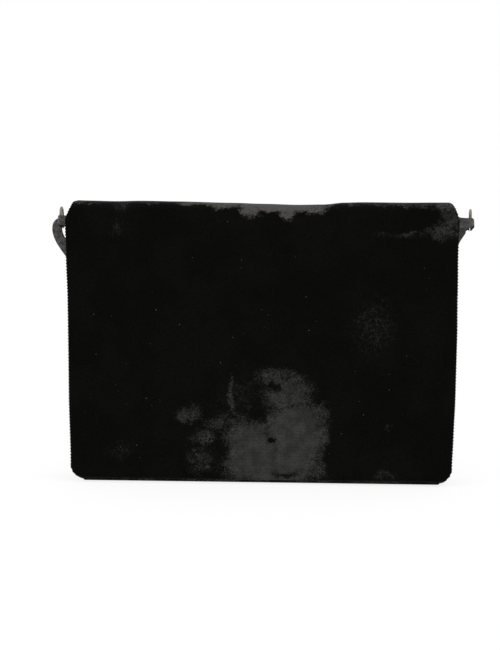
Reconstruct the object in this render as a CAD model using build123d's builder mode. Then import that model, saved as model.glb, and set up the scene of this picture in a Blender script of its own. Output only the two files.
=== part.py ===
from build123d import *
import os
from math import cos, pi, radians, sin, tan

# Evening bag: a flat velvet envelope with a full-length flap, a narrow base, folded side
# gussets, a hidden magnetic snap and a limp strap on two wire rings.
# Frame: origin at the centre of the base, on the floor. +Z up, +X to the viewer's right,
# the flap faces -Y.

# ---- overall sizes (mm) ----
bag_height = 179.5            # floor to the top of the folded-over spine
bag_width = 250.0             # across the widest place, just under the top fold
base_depth = 28.0             # back velvet to front velvet at the base
front_lean = 4.5              # degrees that the front panel and the flap lean back
bottom_taper = 3.5            # how much narrower the flap is at the bottom, each side
top_pinch = 5.5               # how much narrower it is on the top fold, each side
pinch_height = 11.5           # from the widest place up to the top
corner_radius = 8.0           # lower corners of every panel

# ---- layers ----
velvet = 1.0
board = 1.2
lining = 0.5
gusset_velvet = 1.0
gusset_lining = 0.4
body_gap = 0.3                # between pieces that move against each other

# ---- panels ----
flap_bottom = 2.5             # lower edge of the flap above the floor
flap_overlap = 1.0            # how far the flap stands past the panels behind it
board_inset = 1.5             # turned-in velvet beyond the edge of a board
lining_inset = 1.0
fold_room = 3.0               # cloth without board below the rear top fold
front_drop = 12.5             # upper edge of the front panel, below the top
base_end_inset = 6.5          # ends of the base, inside the flap's lower width
spine_end_inset = 0.5

# ---- gussets ----
gusset_bottom = 4.0
gusset_drop = 9.0             # mouth edge of a gusset, below the front panel's
gusset_edge_inset = 2.5
gusset_fold_bottom = 4.0      # how far the fold is tucked in, at the base
gusset_fold_top = 16.0        # and at the mouth

# ---- pocket inside the back ----
pocket_half = 75.0
pocket_bottom = 22.0
pocket_top = 122.0
pocket_thickness = 0.5

# ---- magnetic snap ----
snap_height = 30.0            # up the slope of the front panel
snap_radius = 7.0
cup_height = 1.4
cup_floor = 0.3
cup_wall = 0.8
magnet_fit = 0.1
plug_radius = 2.2
stud_plate = 0.7
post_radius = 1.5
post_fit = 0.1
washer_radius = 6.0
washer_thickness = 0.5

# ---- strap hardware ----
ring_drop = 11.5              # middle of the rings, below the top
reach_right = 7.0             # middle of the wire, beyond the flap's side
reach_left = 6.0
ring_radius = 5.2             # to the middle of the wire
wire_radius = 0.75
sleeve_fit = 0.3
sleeve_wall = 0.75
tab_thickness = 1.2
tab_low = -6.0                # tab's lower and upper edges, from the ring's centre
tab_high = 1.0
tab_root = 15.0               # how far in from the flap's side the tab is sewn
tab_arc = (174.0, 226.0)      # degrees round the ring, 0 to the rear, 90 up
loop_arc = (-75.0, -18.0)

# ---- strap ----
strap_tube_radius = 2.0
strap_start = 0.35            # how far the strap's end is set into its loop
arc_share = 0.45              # share of the shorter run that each arc may use

# ---- worked out from the sizes above ----
shoulder_height = bag_height - pinch_height
flap_shoulder_half = bag_width / 2
flap_bottom_half = flap_shoulder_half - bottom_taper
flap_top_half = flap_shoulder_half - top_pinch
base_half = flap_bottom_half - base_end_inset
spine_half = flap_top_half - spine_end_inset
front_top = bag_height - front_drop
gusset_top = front_top - gusset_drop
ring_height = bag_height - ring_drop
ring_x_right = flap_shoulder_half + reach_right
ring_x_left = -flap_shoulder_half - reach_left
tab_root_half = flap_shoulder_half - tab_root
lean = radians(front_lean)
wall = velvet + board + lining
snap_gap = cup_height + body_gap + stud_plate
flap_face = snap_gap + wall                      # front velvet's face to flap velvet's face
back_y = base_depth / 2
front_y = -base_depth / 2
top_inner_z = bag_height - wall
flap_top_y = front_y + bag_height * tan(lean) - flap_face / cos(lean)
sleeve_inner = wire_radius + sleeve_fit
sleeve_outer = sleeve_inner + sleeve_wall
tab_y = back_y - wall - tab_thickness / 2
ring_y = tab_y + ring_radius

# The front panel's outer face: local x is X, local y runs up the slope, normal to the front.
front_plane = Plane(origin=(0, front_y, 0), x_dir=(1, 0, 0), z_dir=(0, -cos(lean), sin(lean)))
# The back panel's outer face: its normal points into the bag.
back_plane = Plane(origin=(0, back_y, 0), x_dir=(1, 0, 0), z_dir=(0, -1, 0))

os.makedirs("parts", exist_ok=True)


def save(piece, label):
    """Name a finished piece and write it."""
    piece.part.label = label
    export_step(piece.part, f"parts/{label}.step")


def half_width_at(height, inset):
    """Half-width of a panel's straight side at a height, inset from the flap's edge."""
    slope = (flap_shoulder_half - flap_bottom_half) / shoulder_height
    return flap_bottom_half + slope * height - inset


def shouldered_panel(plane, inset, low, high, thickness, bores=()):
    """Plate with rounded lower corners, sloping sides and pinched upper corners."""
    pinch = (flap_shoulder_half - flap_top_half) / (bag_height - shoulder_height)
    top_half = flap_shoulder_half - inset - pinch * max(0.0, high - shoulder_height)
    low_half = half_width_at(low, inset)
    mid = min(high, shoulder_height)
    mid_half = half_width_at(mid, inset)
    right = [(low_half, low), (mid_half, mid)]
    if high > shoulder_height:
        right.append((top_half, high))
    left = [(-x, y) for x, y in reversed(right)]
    with BuildPart() as piece:
        with BuildSketch(plane) as outline:
            with BuildLine():
                Polyline(*right, *left, close=True)
            make_face()
            fillet(outline.vertices().group_by(Axis.Y)[0], corner_radius - inset)
        extrude(amount=thickness)
        for depth, radius in bores:
            with BuildSketch(plane.offset(depth)):
                with Locations((0, snap_height)):
                    Circle(radius)
            extrude(amount=thickness, mode=Mode.SUBTRACT)
    return piece


def flat_strip(half_x, y_low, y_high, z_low, z_high):
    """Plate that lies flat: a layer of the base or of the spine."""
    with BuildPart() as piece:
        with BuildSketch(Plane.XY.offset(z_low)):
            with Locations((0, (y_low + y_high) / 2)):
                Rectangle(2 * half_x, y_high - y_low)
        extrude(amount=z_high - z_low)
    return piece


# ---- base: three layers on the floor ----
front_inner_y = front_y + wall / cos(lean) + wall * tan(lean)
base_inner_front = front_inner_y + body_gap
base_inner_back = back_y - wall
base_board_top = velvet + board
base_lining_top = base_board_top + lining
base_velvet = flat_strip(base_half, front_y, back_y, 0, velvet)
save(base_velvet, "base_velvet")
base_board = flat_strip(base_half - board_inset, base_inner_front, base_inner_back, velvet, base_board_top)
save(base_board, "base_board")
base_lining = flat_strip(
    base_half - lining_inset, base_inner_front, base_inner_back, base_board_top, base_lining_top
)
save(base_lining, "base_lining")

# ---- back panel ----
back_velvet_top = bag_height - 2 * body_gap
back_inner_top = top_inner_z - body_gap
back_velvet = shouldered_panel(back_plane, flap_overlap, velvet, back_velvet_top, velvet)
save(back_velvet, "back_velvet")
back_board = shouldered_panel(
    back_plane.offset(velvet), flap_overlap + board_inset, velvet, back_inner_top - fold_room, board
)
save(back_board, "back_board")
back_lining = shouldered_panel(
    back_plane.offset(velvet + board), flap_overlap + lining_inset, velvet, back_inner_top, lining
)
save(back_lining, "back_lining")

# ---- pocket on the back lining ----
with BuildPart() as slip_pocket:
    with BuildSketch(back_plane.offset(wall)):
        with Locations((0, (pocket_bottom + pocket_top) / 2)):
            Rectangle(2 * pocket_half, pocket_top - pocket_bottom)
    extrude(amount=pocket_thickness)
save(slip_pocket, "slip_pocket")

# ---- front panel, with the snap's cup and magnet ----
front_low = velvet + body_gap
front_velvet = shouldered_panel(
    front_plane.offset(-velvet), flap_overlap, front_low, front_top, velvet,
    [(0, post_radius + post_fit)],
)
save(front_velvet, "front_velvet")
front_blank = shouldered_panel(
    front_plane.offset(-velvet - board), flap_overlap + board_inset, front_low, front_top - lining, board,
    [(0, post_radius + post_fit)],
)
with BuildPart() as front_board:
    add(front_blank.part)
    with BuildSketch(front_plane.offset(-velvet - board)):
        with Locations((0, snap_height)):
            Circle(washer_radius + post_fit)
    extrude(amount=washer_thickness, mode=Mode.SUBTRACT)
save(front_board, "front_board")
front_lining = shouldered_panel(
    front_plane.offset(-wall), flap_overlap + lining_inset, front_low, front_top - lining, lining
)
save(front_lining, "front_lining")

with BuildPart() as snap_cup:
    with BuildSketch(front_plane):
        with Locations((0, snap_height)):
            Circle(snap_radius)
    extrude(amount=cup_height)
    with BuildSketch(front_plane.offset(cup_floor)):
        with Locations((0, snap_height)):
            Circle(snap_radius - cup_wall)
    extrude(amount=cup_height, mode=Mode.SUBTRACT)
    with BuildSketch(front_plane):
        with Locations((0, snap_height)):
            Circle(post_radius)
    extrude(amount=-(velvet + board))
save(snap_cup, "snap_cup")

with BuildPart() as snap_magnet:
    with BuildSketch(front_plane.offset(cup_floor)):
        with Locations((0, snap_height)):
            Circle(snap_radius - cup_wall - magnet_fit)
            Circle(plug_radius + body_gap, mode=Mode.SUBTRACT)
    extrude(amount=cup_height - cup_floor)
save(snap_magnet, "snap_magnet")


def washer(plane):
    """Ring that a snap's post is riveted to, let into the board."""
    with BuildPart() as piece:
        with BuildSketch(plane):
            with Locations((0, snap_height)):
                Circle(washer_radius)
                Circle(post_radius + post_fit, mode=Mode.SUBTRACT)
        extrude(amount=washer_thickness)
    return piece


save(washer(front_plane.offset(-velvet - board)), "cup_washer")

# ---- flap, parallel to the front panel, with the snap's stud ----
flap_inner_top = (top_inner_z - body_gap) / cos(lean) - wall
flap_velvet = shouldered_panel(
    front_plane.offset(flap_face - velvet), 0, flap_bottom, bag_height / cos(lean), velvet
)
with BuildPart() as flap_cover:
    add(flap_velvet.part)
    split(bisect_by=Plane.XY.offset(bag_height), keep=Keep.BOTTOM)
save(flap_cover, "flap_velvet")
flap_board_plane = front_plane.offset(snap_gap + lining)
flap_board = shouldered_panel(
    flap_board_plane, board_inset, flap_bottom + board_inset, flap_inner_top, board,
    [(0, post_radius + post_fit), (board - washer_thickness, washer_radius + post_fit)],
)
save(flap_board, "flap_board")
flap_lining = shouldered_panel(
    front_plane.offset(snap_gap), lining_inset, flap_bottom + lining_inset, flap_inner_top, lining,
    [(0, post_radius + post_fit)],
)
save(flap_lining, "flap_lining")

with BuildPart() as snap_stud:
    with BuildSketch(front_plane.offset(snap_gap)):
        with Locations((0, snap_height)):
            Circle(snap_radius)
    extrude(amount=-stud_plate)
    with BuildSketch(front_plane.offset(cup_floor + body_gap)):
        with Locations((0, snap_height)):
            Circle(plug_radius)
    extrude(amount=cup_height - cup_floor)
    with BuildSketch(front_plane.offset(snap_gap)):
        with Locations((0, snap_height)):
            Circle(post_radius)
    extrude(amount=lining + board)
save(snap_stud, "snap_stud")
save(washer(flap_board_plane.offset(board - washer_thickness)), "stud_washer")

# ---- spine: the strip over the mouth, between the two top folds ----
spine_front = flap_top_y + velvet / cos(lean) + body_gap
spine_back = back_y - velvet - body_gap
spine_inner_front = flap_top_y + (wall + wall * sin(lean)) / cos(lean) + 2 * body_gap
spine_inner_back = back_y - wall + body_gap / 2
spine_velvet = flat_strip(spine_half, spine_front, spine_back, bag_height - velvet, bag_height)
save(spine_velvet, "spine_velvet")
spine_board_low = bag_height - velvet - board
spine_board = flat_strip(
    spine_half - board_inset, spine_inner_front, spine_inner_back, spine_board_low, bag_height - velvet
)
save(spine_board, "spine_board")
spine_lining = flat_strip(
    spine_half - lining_inset, spine_inner_front, spine_inner_back, top_inner_z, spine_board_low
)
save(spine_lining, "spine_lining")


# ---- gussets: each side folds inward between the front and the back ----
def gusset_section(height, tuck, outer_shift, thickness, side):
    """The folded wall at one height, as a closed outline in a level plane."""
    outer = half_width_at(height, flap_overlap + gusset_edge_inset) - outer_shift
    rear = back_y - wall - body_gap
    fore = front_y + wall / cos(lean) + height * tan(lean) + 2 * body_gap
    middle = (rear + fore) / 2
    points = [
        (outer, rear), (outer - tuck, middle), (outer, fore),
        (outer - thickness, fore), (outer - tuck - thickness, middle), (outer - thickness, rear),
    ]
    return [(side * x, y) for x, y in points]


def gusset(outer_shift, thickness, side):
    """One layer of a folded gusset, from the base to the mouth."""
    with BuildPart() as piece:
        for height, tuck in ((gusset_bottom, gusset_fold_bottom), (gusset_top, gusset_fold_top)):
            with BuildSketch(Plane.XY.offset(height)):
                with BuildLine():
                    Polyline(*gusset_section(height, tuck, outer_shift, thickness, side), close=True)
                make_face()
        loft(ruled=True)
    return piece


for side_name, side in (("left", -1), ("right", 1)):
    save(gusset(0, gusset_velvet, side), f"gusset_{side_name}")
    save(gusset(gusset_velvet, gusset_lining, side), f"gusset_lining_{side_name}")


# ---- rings, the tabs that hold them, and the strap's end loops ----
def round_the_ring(ring_x, arc, outer, inner):
    """Part of a tube that follows a ring's wire, between two angles round the ring."""
    start = radians(arc[0])
    centre = (ring_x, ring_y, ring_height)
    plane = Plane(origin=centre, x_dir=(0, cos(start), sin(start)), z_dir=(0, sin(start), -cos(start)))
    with BuildPart() as piece:
        with BuildSketch(plane):
            with Locations((ring_radius, 0)):
                Circle(outer)
                if inner:
                    Circle(inner, mode=Mode.SUBTRACT)
        revolve(axis=Axis(centre, (1, 0, 0)), revolution_arc=arc[1] - arc[0])
    return piece


full_turn = (0.0, 360.0)
for side_name, ring_x, side in (("left", ring_x_left, -1), ("right", ring_x_right, 1)):
    save(round_the_ring(ring_x, full_turn, wire_radius, 0), f"ring_{side_name}")
    save(round_the_ring(ring_x, loop_arc, sleeve_outer, sleeve_inner), f"strap_loop_{side_name}")
    tab_sleeve = round_the_ring(ring_x, tab_arc, sleeve_outer, 0)
    wire_room = round_the_ring(ring_x, full_turn, sleeve_inner, 0)
    tab_length = abs(ring_x) - tab_root_half
    with BuildPart() as tab:
        with BuildSketch(Plane.XY.offset(ring_height + tab_low)):
            with Locations((side * (tab_root_half + tab_length / 2), tab_y)):
                Rectangle(tab_length, tab_thickness)
        extrude(amount=tab_high - tab_low)
        add(tab_sleeve.part)
        add(wire_room.part, mode=Mode.SUBTRACT)
    save(tab, f"tab_{side_name}")

# ---- strap: hangs behind the bag from ring to ring ----
loop_middle = radians((loop_arc[0] + loop_arc[1]) / 2)
exit_radius = ring_radius + sleeve_outer - strap_start
exit_y = ring_y + exit_radius * cos(loop_middle)
exit_z = ring_height + exit_radius * sin(loop_middle)
strap_points = [
    (ring_x_right, exit_y, exit_z),
    (129.8, 23.8, 161.4),
    (126.0, 24.8, 158.0),
    (121.0, 24.2, 150.4),
    (114.4, 22.8, 139.0),
    (105.0, 21.4, 123.0),
    (92.6, 21.0, 104.6),
    (76.0, 21.0, 86.0),
    (55.0, 21.0, 69.0),
    (29.0, 21.0, 57.4),
    (1.0, 21.0, 53.6),
    (-27.0, 21.0, 57.0),
    (-53.0, 21.0, 68.0),
    (-75.0, 21.0, 84.6),
    (-93.0, 21.2, 103.0),
    (-107.6, 21.8, 120.4),
    (-119.6, 22.8, 134.6),
    (-128.2, 23.8, 146.6),
    (-133.8, 25.0, 155.4),
    (-135.6, 25.4, 161.0),
    (ring_x_left, exit_y, exit_z),
]


def arc_radii(points):
    """The largest arc that each corner's two runs allow, by the share above."""
    radii = []
    for before, here, after in zip(points, points[1:], points[2:]):
        arriving = Vector(*here) - Vector(*before)
        leaving = Vector(*after) - Vector(*here)
        half_turn = radians(arriving.get_angle(leaving)) / 2
        radii.append(arc_share * min(arriving.length, leaving.length) / tan(half_turn))
    return radii


strap_radii = arc_radii(strap_points)
with BuildPart() as strap:
    with BuildLine() as strap_path:
        FilletPolyline(*strap_points, radius=strap_radii)
    with BuildSketch(Plane(origin=strap_path.line @ 0, z_dir=strap_path.line % 0)):
        Circle(strap_tube_radius)
    sweep()
save(strap, "strap")
strap_length = sum(edge.length for edge in strap_path.edges())
print("strap radii", [round(r, 1) for r in strap_radii])
print("strap length", round(strap_length, 1), "volume", round(strap.part.volume, 1),
      "section x length", round(pi * strap_tube_radius**2 * strap_length, 1))
print("flap fold axis y", round(flap_top_y, 3), "ring centre y", round(ring_y, 3))
print("gap at the mouth", round(base_inner_back - front_inner_y - front_top * sin(lean), 2))
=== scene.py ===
# %% [markdown]
# An evening bag in black velvet.
#
# The bag is a flat envelope with a flap that covers its whole front, a narrow base, two side
# gussets folded inward, a magnetic snap under the flap and a limp ribbon strap on two wire rings.
# The CAD model is loaded first and stays where it is. Its hard, hidden parts keep their shape and
# only get a finish. Every soft part is built again here as cloth, in the place that its solid holds.

import random
from math import cos, pi, radians, sin, tan

import bmesh
import bpy
import numpy as np
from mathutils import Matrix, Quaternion, Vector

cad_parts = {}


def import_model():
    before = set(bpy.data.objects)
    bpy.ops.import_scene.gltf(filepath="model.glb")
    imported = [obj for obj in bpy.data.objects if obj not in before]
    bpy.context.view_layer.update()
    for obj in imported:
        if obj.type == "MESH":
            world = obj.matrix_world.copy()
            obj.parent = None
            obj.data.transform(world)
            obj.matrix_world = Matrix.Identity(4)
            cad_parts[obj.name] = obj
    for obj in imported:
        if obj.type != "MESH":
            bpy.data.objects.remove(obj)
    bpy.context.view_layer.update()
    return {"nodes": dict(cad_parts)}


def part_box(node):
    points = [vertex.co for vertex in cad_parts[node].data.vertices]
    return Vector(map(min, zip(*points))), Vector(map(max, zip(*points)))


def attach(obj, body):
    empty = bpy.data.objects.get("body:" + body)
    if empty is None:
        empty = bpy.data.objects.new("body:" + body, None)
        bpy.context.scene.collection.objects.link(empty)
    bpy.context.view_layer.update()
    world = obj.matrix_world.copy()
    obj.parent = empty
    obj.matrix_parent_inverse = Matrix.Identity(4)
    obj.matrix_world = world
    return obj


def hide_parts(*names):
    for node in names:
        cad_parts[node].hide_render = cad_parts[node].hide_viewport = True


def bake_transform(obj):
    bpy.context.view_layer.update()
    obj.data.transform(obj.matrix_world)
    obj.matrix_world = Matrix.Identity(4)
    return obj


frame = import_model()

# %% [markdown]
# Sizes that many pieces share.
#
# A bag maker works from a handful of numbers: how tall and wide the flap is, how far the front
# leans, how thick the sandwich of velvet, board and lining is. They are written once, in metres,
# and the places of folds are worked out from them and from the CAD boxes.

# %% Shared sizes
MM = 0.001
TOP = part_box("spine_velvet")[1].z
BACK_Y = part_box("back_velvet")[1].y
FRONT_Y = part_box("base_velvet")[0].y
LEAN = radians(4.5)
VELVET, BOARD, LINING = 1.0 * MM, 1.2 * MM, 0.5 * MM
WALL = VELVET + BOARD + LINING
SNAP_GAP = 2.4 * MM
FLAP_FACE = SNAP_GAP + WALL
HEM = 2.5 * MM
SHOULDER_Z, SHOULDER, BOTTOM_HALF, TOP_HALF = 168 * MM, 125 * MM, 121.5 * MM, 119.5 * MM
CORNER = 8 * MM
BEHIND = 1.0 * MM
FOLD_Y = FRONT_Y + TOP * tan(LEAN) - FLAP_FACE / cos(LEAN)
MID_SPINE_Y = (BACK_Y + FOLD_Y) / 2
print("flap fold at y", round(FOLD_Y / MM, 2), "mm, spine middle", round(MID_SPINE_Y / MM, 2))


def soften(t):
    """0 to 1 with a soft start and end."""
    t = np.clip(t, 0, 1)
    return t * t * (3 - 2 * t)



# %% [markdown]
# The camera.
#
# A long lens from a little above and a little to the right shows the flap almost square on.
# The camera comes before any piece, so that each one can be judged in its final view.

# %% Camera
AIM = Vector((-7.3 * MM, -11.0 * MM, 101.0 * MM))
DISTANCE, ELEVATION, AZIMUTH, ROLL = 1.258, radians(6.3), radians(3.2), radians(0.2)
away = Vector((sin(AZIMUTH) * cos(ELEVATION), -cos(AZIMUTH) * cos(ELEVATION), sin(ELEVATION)))
camera_data = bpy.data.cameras.new("camera")
camera_data.lens = 110
camera_data.sensor_width = 36
camera = bpy.data.objects.new("camera", camera_data)
camera.location = AIM + away * DISTANCE
camera.rotation_euler = (away.to_track_quat("Z", "Y") @ Quaternion((0, 0, 1), ROLL)).to_euler()
bpy.context.scene.collection.objects.link(camera)
bpy.context.scene.camera = camera
print("camera at", [round(v, 3) for v in camera.location])

# %% [markdown]
# Building meshes.
#
# Cloth is a thin closed shell, and a ribbon is a flat tube. Both are rows of points joined by
# faces, so one small function turns points and faces into an object. It also stores each
# point's place on the finished bag. The materials read that, so wear stays on the same threads.

# %% Mesh helper
SMOOTH_LIMIT = radians(50)


def make_piece(name, points, faces):
    """A mesh object from points and faces, shaded smooth, that remembers its resting place."""
    mesh = bpy.data.meshes.new(name)
    mesh.from_pydata([tuple(p) for p in points], [], faces)
    shell = bmesh.new()
    shell.from_mesh(mesh)
    bmesh.ops.recalc_face_normals(shell, faces=shell.faces)
    shell.to_mesh(mesh)
    shell.free()
    mesh.shade_smooth()
    mesh.set_sharp_from_angle(angle=SMOOTH_LIMIT)
    place = mesh.attributes.new("rest", "FLOAT_VECTOR", "POINT")
    place.data.foreach_set("vector", np.array(points, np.float32).ravel())
    piece = bpy.data.objects.new(name, mesh)
    bpy.context.scene.collection.objects.link(piece)
    return piece


def tube_faces(rows, around, closed_ends=True):
    """Faces of a tube whose rows of points each go once around."""
    faces = []
    for i in range(rows - 1):
        for j in range(around):
            k = (j + 1) % around
            faces.append((i * around + j, i * around + k, (i + 1) * around + k, (i + 1) * around + j))
    if closed_ends:
        faces.append(tuple(range(around)))
        faces.append(tuple((rows - 1) * around + j for j in range(around)))
    return faces


# %% [markdown]
# The strap's route.
#
# The strap is one limp ribbon. It leaves the right ring, hangs in a low curve behind the bag and
# comes up to the left ring. A NURBS spline through a few chosen points gives a line with no
# corners. Blender turns that line into close points, and the ribbon is then laid along them.

# %% Strap route
RING_RIGHT, RING_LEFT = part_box("ring_right"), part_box("ring_left")
RING_RADIUS, WIRE = 5.2 * MM, 0.75 * MM


def ring_centre(box):
    return (box[0] + box[1]) / 2


LOOP_ANGLE = radians(-46.5)
EXIT_RADIUS = RING_RADIUS + 1.45 * MM


def ring_point(centre, radius, angle, across=0.0):
    """A point near a ring: radius and angle round its middle, and a distance along X."""
    return centre + Vector((across, radius * cos(angle), radius * sin(angle)))


exit_right = ring_point(ring_centre(RING_RIGHT), EXIT_RADIUS, LOOP_ANGLE)
exit_left = ring_point(ring_centre(RING_LEFT), EXIT_RADIUS, LOOP_ANGLE)
strap_route = [
    tuple(exit_right),
    (0.1292, 0.0240, 0.1622), (0.1256, 0.0248, 0.1580), (0.1210, 0.0242, 0.1500),
    (0.1142, 0.0228, 0.1388), (0.1050, 0.0214, 0.1230), (0.0926, 0.0210, 0.1046),
    (0.0760, 0.0210, 0.0860), (0.0550, 0.0210, 0.0690), (0.0290, 0.0210, 0.0574),
    (0.0010, 0.0210, 0.0536), (-0.0270, 0.0210, 0.0570), (-0.0530, 0.0210, 0.0680),
    (-0.0750, 0.0210, 0.0846), (-0.0930, 0.0212, 0.1030), (-0.1076, 0.0218, 0.1204),
    (-0.1204, 0.0228, 0.1346), (-0.1288, 0.0238, 0.1452), (-0.1340, 0.0250, 0.1526),
    (-0.1358, 0.0252, 0.1590), (-0.1342, 0.0240, 0.1632),
    tuple(exit_left),
]


def smooth_line(name, route, resolution):
    """Close points along a NURBS spline with the route as its control points."""
    curve = bpy.data.curves.new(name, "CURVE")
    curve.dimensions = "3D"
    spline = curve.splines.new("NURBS")
    spline.points.add(len(route) - 1)
    for point, place in zip(spline.points, route):
        point.co = (*place, 1)
    spline.order_u = 3
    spline.use_endpoint_u = True
    spline.resolution_u = resolution
    holder = bpy.data.objects.new(name, curve)
    bpy.context.scene.collection.objects.link(holder)
    bpy.context.view_layer.update()
    line = bpy.data.meshes.new_from_object(holder)
    points = [v.co.copy() for v in line.vertices]
    bpy.data.objects.remove(holder)
    return points


strap_line = smooth_line("strap_route", strap_route, 12)

# %% [markdown]
# A ribbon along a line.
#
# Velvet ribbon has a soft, slightly corded face and rounded selvedges. A flat tube with small
# ripples across its width has those, and it can be turned to face any way along the line.

# %% Ribbon helper
RIBBON_WIDTH, RIBBON_THICK = 6.6 * MM, 0.9 * MM
RIBBON_CORDS, CORD_RISE = 5, 0.10
RIBBON_COLUMNS, BAND_COLUMNS = 21, 11
RIBBON_EDGE, BAND_EDGE = 0.12, 0.25       # how thin the selvedges get, as a share of the middle


def ribbon_cord(across):
    """The rise of the ribbon's fine cords at a place across its width."""
    return 1 + CORD_RISE * cos(2 * pi * RIBBON_CORDS * across)


def selvedge(across, thinnest):
    """The ribbon's thickness at a place from -0.5 to 0.5 across it, rounded off at both edges."""
    return max(thinnest, (1 - abs(2 * across) ** 6) ** 0.5)


def ribbon_section(width, thick):
    """The ribbon's cross-section: a face, a rounded edge, the back and the other edge."""
    face = []
    for k in range(RIBBON_COLUMNS):
        across = k / (RIBBON_COLUMNS - 1) - 0.5
        face.append((across * width, selvedge(across, RIBBON_EDGE) * ribbon_cord(across) * thick / 2))
    return face + [(u, -v) for u, v in reversed(face)]


def round_the_band():
    """Places across a band, from 0 to 1: over its face (1) and back along its other side (-1)."""
    over = [k / (BAND_COLUMNS - 1) for k in range(BAND_COLUMNS)]
    return [(share, 1) for share in over] + [(share, -1) for share in reversed(over)]


def lay_ribbon(name, line, across_at, width=RIBBON_WIDTH, thick=RIBBON_THICK):
    """A ribbon along a line. across_at(share, along) gives the direction of its width."""
    section = ribbon_section(width, thick)
    points = []
    for i, here in enumerate(line):
        before, after = line[max(0, i - 1)], line[min(len(line) - 1, i + 1)]
        along = (after - before).normalized()
        across = across_at(i / (len(line) - 1), along)
        across = (across - along * across.dot(along)).normalized()
        out = along.cross(across)
        points += [here + across * u + out * v for u, v in section]
    return make_piece(name, points, tube_faces(len(line), len(section)))


# %% Strap
RIBBON_TWIST = 0.09                       # the share of the ribbon in which it turns flat
WIRE_WAY = Vector((0, sin(LOOP_ANGLE), -cos(LOOP_ANGLE)))


def strap_across(share, along):
    """Behind the bag the ribbon lies flat to the back. At the right ring it lies along the wire."""
    flat = Vector((-along.z, 0, along.x))
    return WIRE_WAY.lerp(flat, float(soften(share / RIBBON_TWIST)))


strap = lay_ribbon("strap_ribbon", strap_line, strap_across)
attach(strap, "strap")
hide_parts("strap")
print("strap", len(strap.data.vertices), "points")

# %% [markdown]
# The strap's eyes and the tabs.
#
# Each end of the strap is sewn into an eye round a wire ring, and a folded ribbon tab holds the
# ring to the bag. Both wrap a wire that itself curves, so their bands are laid in the ring's own
# directions: an angle round the ring for the width, and a small loop round the wire.

# %% Bands round the wire
def outward(path, i):
    """The direction away from a flat path's middle, square to it at point i."""
    along = (path[min(len(path) - 1, i + 1)] - path[max(0, i - 1)]).normalized()
    return Vector((along.y, -along.x))


def band_round_wire(name, centre, angles, loop, thick):
    """A ribbon band. loop is a list of (across X, out from the wire); the width spans angles."""
    path = [Vector(p) for p in loop]
    points = []
    for i, here in enumerate(path):
        out = outward(path, i)
        for share, half in round_the_band():
            angle = angles[0] + (angles[1] - angles[0]) * share
            cord = ribbon_cord(share) if half > 0 else 1
            place = here + out * half * thick / 2 * cord * selvedge(share - 0.5, BAND_EDGE)
            points.append(ring_point(centre, RING_RADIUS + place.y, angle, place.x))
    return make_piece(name, points, tube_faces(len(path), 2 * BAND_COLUMNS))


def rounded_loop(corners, steps=5):
    """A smooth line through a few corners, each stretch eased into the next."""
    line = []
    for i in range(len(corners) - 1):
        a = Vector(corners[max(0, i - 1)])
        b, c = Vector(corners[i]), Vector(corners[i + 1])
        d = Vector(corners[min(len(corners) - 1, i + 2)])
        for k in range(steps):
            t = k / steps
            line.append(0.5 * ((2 * b) + (c - a) * t + (2 * a - 5 * b + 4 * c - d) * t**2
                               + (3 * b - a - 3 * c + d) * t**3))
    line.append(Vector(corners[-1]))
    return line


# (across X, out from the wire), in mm
EYE_SHAPE = [(0.45, 3.4), (1.5, 2.2), (2.5, 0.8), (2.0, -1.0), (0, -1.65),
             (-2.0, -1.0), (-2.5, 0.8), (-1.5, 2.2), (-0.45, 3.4)]
EYE_ANGLES = (radians(-78), radians(-8))
EYE_PLY = 0.7 * MM
eyes = []
for side, box in (("right", RING_RIGHT), ("left", RING_LEFT)):
    loop = [(x * MM, y * MM) for x, y in EYE_SHAPE]
    eye = band_round_wire(f"strap_eye_{side}", ring_centre(box), EYE_ANGLES,
                          rounded_loop(loop), EYE_PLY)
    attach(eye, "strap")
    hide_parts(f"strap_loop_{side}")
    eyes.append(eye)

print("eyes", [eye.name for eye in eyes])

# %% [markdown]
# Wire rings.
#
# A ring like this is bent from wire and closed with a butt joint. Sweeping a small circle round
# a larger one gives the wire. A hair's breadth is left open at the joint, where it turns inside
# the tab.

# %% Rings
JOINT_ANGLE, JOINT_GAP = radians(200), radians(2.4)
CUT_END = 0.86                            # the wire's ends are filed a little thinner


def wire_ring(name, centre):
    """Wire bent round to a butt joint."""
    steps, around = 72, 14
    points = []
    for i in range(steps + 1):
        angle = JOINT_ANGLE + JOINT_GAP / 2 + (2 * pi - JOINT_GAP) * i / steps
        radius = WIRE * (CUT_END if i in (0, steps) else 1.0)
        for j in range(around):
            turn = 2 * pi * j / around
            points.append(ring_point(centre, RING_RADIUS + radius * cos(turn), angle,
                                     radius * sin(turn)))
    return make_piece(name, points, tube_faces(steps + 1, around))


for side, box in (("right", RING_RIGHT), ("left", RING_LEFT)):
    ring = wire_ring(f"wire_ring_{side}", ring_centre(box))
    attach(ring, "case")
    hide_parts(f"ring_{side}")
print("rings made")

# %% [markdown]
# Tabs.
#
# A tab is a length of the strap's ribbon, folded over the wire and sewn between the back's board
# and lining. Near the bag it is flat. At the wire its width follows the ring's curve.

# %% Tabs
TAB_LOW, TAB_HIGH = -6 * MM, 1.2 * MM
TAB_ANGLES = (radians(240), radians(175))
TAB_FLAT_FROM, TAB_FLAT_TO = 9.5 * MM, 3.6 * MM
TAB_PLY = 0.45 * MM
TAB_LANE = 1.4 * MM                       # from the wire's middle to the ribbon's middle
TAB_STEPS, TAB_STOP = 14, 0.92            # the flat runs stop at this share of the way to the wire
TAB_PRESSED = 0.45                        # how close the two runs lie where they are sewn in
TAB_TURN_FROM = 0.15


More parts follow.
